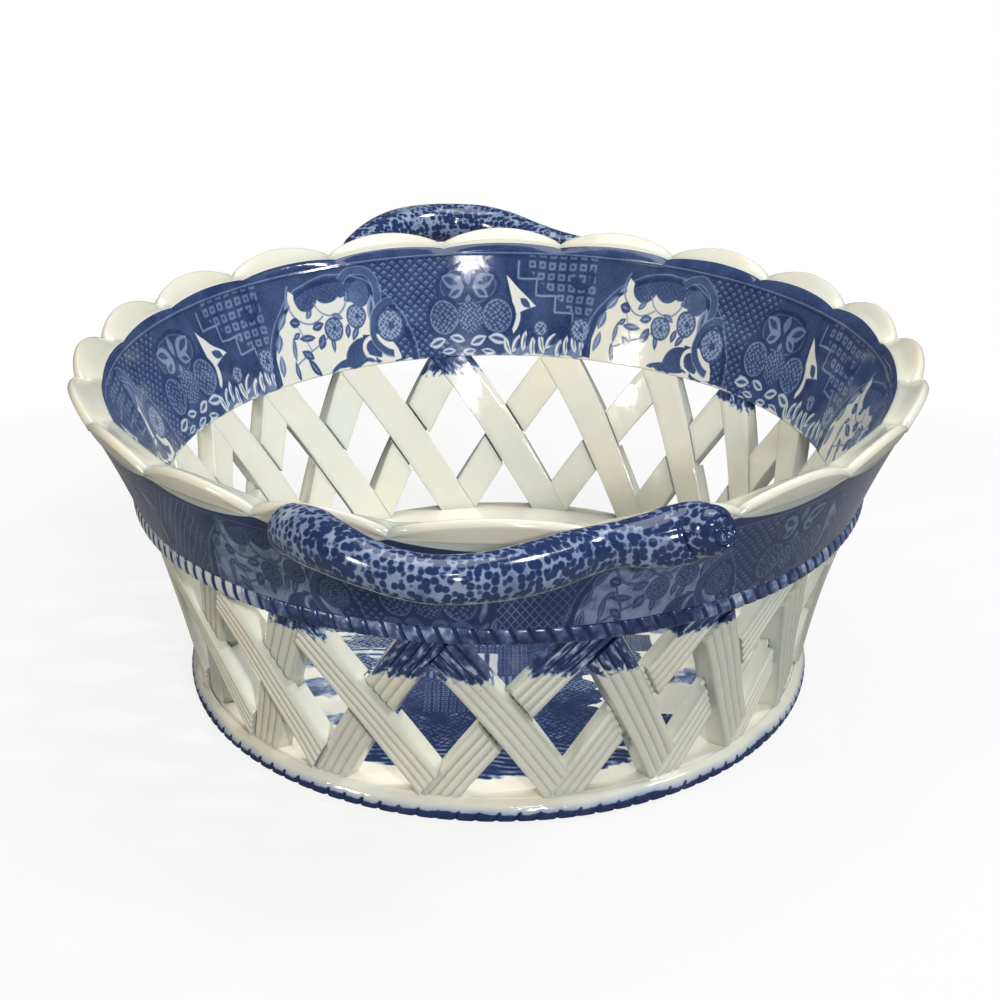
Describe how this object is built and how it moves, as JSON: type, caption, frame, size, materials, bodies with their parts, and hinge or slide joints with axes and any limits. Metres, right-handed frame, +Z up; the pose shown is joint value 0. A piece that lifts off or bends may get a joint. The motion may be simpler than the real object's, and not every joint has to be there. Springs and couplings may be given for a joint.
{
  "type": "reticulated basket",
  "caption": "Oval openwork pottery basket with a lattice of crossed reeded strips, flared printed band, scalloped lip and a twig handle at each end.",
  "frame": {"origin": "centre of the flat underside, where the basket stands", "axes": "+Z up through the open top, +Y along the long axis through both handles, +X across"},
  "size_m": [0.2092, 0.2969, 0.0847],
  "materials": {
    "floor_glaze": "cream glaze over a cobalt print",
    "foot_glaze": "cream glaze with cobalt pooled in the nicks",
    "strap_glaze": "gloss cream glaze",
    "rope_glaze": "gloss cobalt glaze",
    "printed_band": "gloss glaze over a cobalt print",
    "lip_glaze": "gloss cream glaze, worn at the edge",
    "handle_glaze": "gloss glaze with speckled cobalt"
  },
  "bodies": {
    "root": {"base_plate": "floor_glaze", "foot_edge": "foot_glaze", "rope_moulding": "rope_glaze", "rim_band": "printed_band", "scalloped_lip": "lip_glaze", "handle_front": "handle_glaze", "handle_back": "handle_glaze", "under_strap_01": "strap_glaze", "over_strap_01": "strap_glaze", "under_strap_02": "strap_glaze", "over_strap_02": "strap_glaze", "under_strap_03": "strap_glaze", "over_strap_03": "strap_glaze", "under_strap_04": "strap_glaze", "over_strap_04": "strap_glaze", "under_strap_05": "strap_glaze", "over_strap_05": "strap_glaze", "under_strap_06": "strap_glaze", "over_strap_06": "strap_glaze", "under_strap_07": "strap_glaze", "over_strap_07": "strap_glaze", "under_strap_08": "strap_glaze", "over_strap_08": "strap_glaze", "under_strap_09": "strap_glaze", "over_strap_09": "strap_glaze", "under_strap_10": "strap_glaze", "over_strap_10": "strap_glaze", "under_strap_11": "strap_glaze", "over_strap_11": "strap_glaze", "under_strap_12": "strap_glaze", "over_strap_12": "strap_glaze", "under_strap_13": "strap_glaze", "over_strap_13": "strap_glaze", "under_strap_14": "strap_glaze", "over_strap_14": "strap_glaze", "under_strap_15": "strap_glaze", "over_strap_15": "strap_glaze", "under_strap_16": "strap_glaze", "over_strap_16": "strap_glaze", "under_strap_17": "strap_glaze", "over_strap_17": "strap_glaze", "under_strap_18": "strap_glaze", "over_strap_18": "strap_glaze", "under_strap_19": "strap_glaze", "over_strap_19": "strap_glaze", "under_strap_20": "strap_glaze", "over_strap_20": "strap_glaze"}
  },
  "joints": []
}
